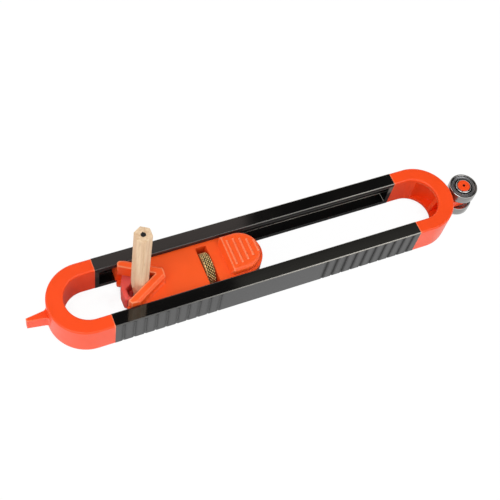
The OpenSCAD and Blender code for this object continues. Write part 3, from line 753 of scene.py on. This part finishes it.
def make_pencil():
    """Bare hexagonal pencil: rounded corners, scalloped sharpened end, sawn top, chipped lead."""
    columns, sharp = 144, 40
    half_flat, corner, lead_r, full_r = 3.5, 0.55, 1.1, 7 / math.sqrt(3)
    bore_r, top = lead_r + 0.01, 57.5
    # The sharpened end is a steep cone up to its knee and a slower one above
    tip_z, cone, knee, knee_r = 0.2, 17.6, 8.0, 2.75
    scallop_z, scallop_step, scallop_rows, body_z = 13.4, 0.2, 21, 17.9
    start_z = tip_z + knee * lead_r / knee_r
    heights = evenly(start_z, scallop_z, 8)
    heights += [scallop_z + scallop_step * k for k in range(1, scallop_rows + 1)]
    heights += evenly(body_z, top - 0.25, 18)
    turns = [TURN * i / columns for i in range(columns)]
    reach = [hexagon_reach(angle, half_flat, corner) for angle in turns]
    wobble = [0.05 * math.sin(5 * angle) + 0.04 * math.sin(9 * angle + 1) for angle in turns]
    rings, levels = [], []
    for z in heights:
        up = z - tip_z
        upper_r = knee_r + (full_r - knee_r) * (up - knee) / (cone - knee)
        cone_r = min(knee_r * up / knee, upper_r)
        rings.append(([min(r, cone_r) for r in reach], z))
        levels += [1.0 if cone_r < r else 0.0 for r in reach]
    # Over the sawn top and down the bore that holds the lead
    rings += [
        ([r - 0.06 for r in reach], top - 0.11),
        ([r - 0.2 for r in reach], [top - 0.05 + 0.2 * w for w in wobble]),
        ([0.5 * (r + lead_r) for r in reach], [top - 0.05 + 0.3 * w for w in wobble]),
        ([lead_r + 0.2 + w for w in wobble], top - 0.08),
        ([lead_r + 0.03 + 0.4 * abs(w) for w in wobble], top - 0.3),
        ([bore_r] * columns, top - 1.2),
        ([bore_r] * columns, start_z + 0.02),
    ]
    verts = pencil_rings(rings)
    levels += [0.0] * (len(verts) - len(levels))
    make_piece("pencil_wood_sharpened", verts, ring_faces(len(rings), columns), wood, "pencil",
               "pencil_wood", sharp, levels)
    # The lead, from its point to its chipped top
    stations = [(0.12, tip_z + 0.02), (0.26, tip_z + 0.5), (0.6, tip_z + 0.6 * knee / knee_r),
                (lead_r - 0.01, start_z), (lead_r, start_z + 0.3), (lead_r, 30),
                (lead_r, top - 0.6)]
    rings = [([radius] * columns, z) for radius, z in stations]
    rings += [
        ([lead_r - 0.06 + w for w in wobble], [top - 0.34 + 2 * w for w in wobble]),
        ([0.75 + 2 * w for w in wobble], [top - 0.26 - 2.5 * w for w in wobble]),
        ([0.3 + w for w in wobble], top - 0.3),
    ]
    faces = ring_faces(len(rings), columns, False)
    faces.append(tuple(range(columns)))
    faces.append(tuple(range((len(rings) - 1) * columns, len(rings) * columns)))
    make_piece("pencil_lead_chipped", pencil_rings(rings), faces, lead, "pencil",
               "pencil_lead", sharp)


def make_slide():
    """The slide with more headroom over the jaw's strap, seen under the V rest's far wall."""
    strap_roof, raised_roof, near, behind_v = 9.7, 12.6, 0.05, 12.0
    node = nodes["carriage_body"]
    mesh = node.data.copy()
    mesh.name = "carriage_body_open"
    mesh.transform(node.matrix_world)
    for vert in mesh.vertices:
        if abs(vert.co.z / MM - strap_roof) < near and vert.co.x / MM < PENCIL_X + behind_v:
            vert.co.z = raised_roof * MM
    mesh.materials.clear()
    mesh.materials.append(slide_orange)
    piece = bpy.data.objects.new("carriage_body_open", mesh)
    scene.collection.objects.link(piece)
    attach(piece, "slide")
    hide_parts("carriage_body")


def dress(name, material):
    """Puts a material on a CAD node."""
    mesh = nodes[name].data
    mesh.materials.clear()
    mesh.materials.append(material)


# Studio: each lamp has its place, size and radiance, and some a tint and a point to face

scene.view_settings.view_transform = "Standard"
make_camera()
make_world()
make_floor()
softbox("key_right", (0.55, -0.40, 1.0), (0.8, 0.8), 2.4)
softbox("key_left", (-0.70, -0.42, 0.88), (0.8, 0.8), 3.0)
softbox("top", (-0.06, -0.12, 1.0), (0.5, 0.5), 1.7)
softbox("front", (0.0, -1.0, 0.50), (1.4, 0.5), 0.45)
softbox("back", (0.055, 0.85, 0.98), (0.72, 0.65), 0.62, (1.0, 0.86, 0.80))
softbox("back_right", (0.545, 0.34, 1.0), (0.52, 0.2), 0.3, (1.0, 0.97, 0.85), (0.545, 0.34, 0))
softbox("left", (-0.75, 0.55, 0.85), (0.5, 0.6), 2.0)

# Materials of the pieces

# Both orange plastics paint a highlight along their convex upper edges
orange = moulded_plastic(
    "orange_plastic", linear(255, 78, 22), roughness=0.34, edge=0.25,
    edge_highlight={"tone": linear(255, 150, 108), "reach": 1.1, "fade": (0.5, 0.70), "heights": (9, 14)},
)
slide_orange = moulded_plastic(
    "slide_plastic", linear(255, 91, 29), roughness=0.35, edge=0.4,
    edge_highlight={"tone": linear(255, 146, 100), "reach": 0.85, "fade": (0.74, 0.94),
         "heights": (15.0, 15.6)},
)
red = moulded_plastic(
    "red_plastic", linear(255, 108, 98), roughness=0.40, edge=1.1, clear=0.5)
rail_black = rail_plastic()
bearing_steel = turned_metal("bearing_steel", linear(196, 194, 192), roughness=0.17)
shield_steel = turned_metal(
    "shield_steel", linear(176, 176, 178), roughness=0.28, ring_depth=0.008)
hardware = plain_steel("hardware_steel", linear(190, 190, 192), roughness=0.28)
brass = knurled_brass()
wood = raw_wood()
lead = graphite()

# CAD nodes that show as they are

for name in ("near_rail", "far_rail"):
    dress(name, rail_black)
for name in ("pointer_cap", "roller_cap"):
    dress(name, orange)
dress("carriage_cover", slide_orange)
dress("clamp_jaw", red)
dress("jaw_pin", hardware)
for level in ("upper", "lower"):
    dress(f"{level}_balls", bearing_steel)
    dress(f"{level}_cage", shield_steel)

# Pieces that stand for the others

make_bearing("upper", UPPER_Z, "upper_roller")
make_bearing("lower", LOWER_Z, "lower_roller")
make_slide()
make_wheel()
make_draw_screw()
make_cover_screws()
make_pencil()

bpy.context.view_layer.update()
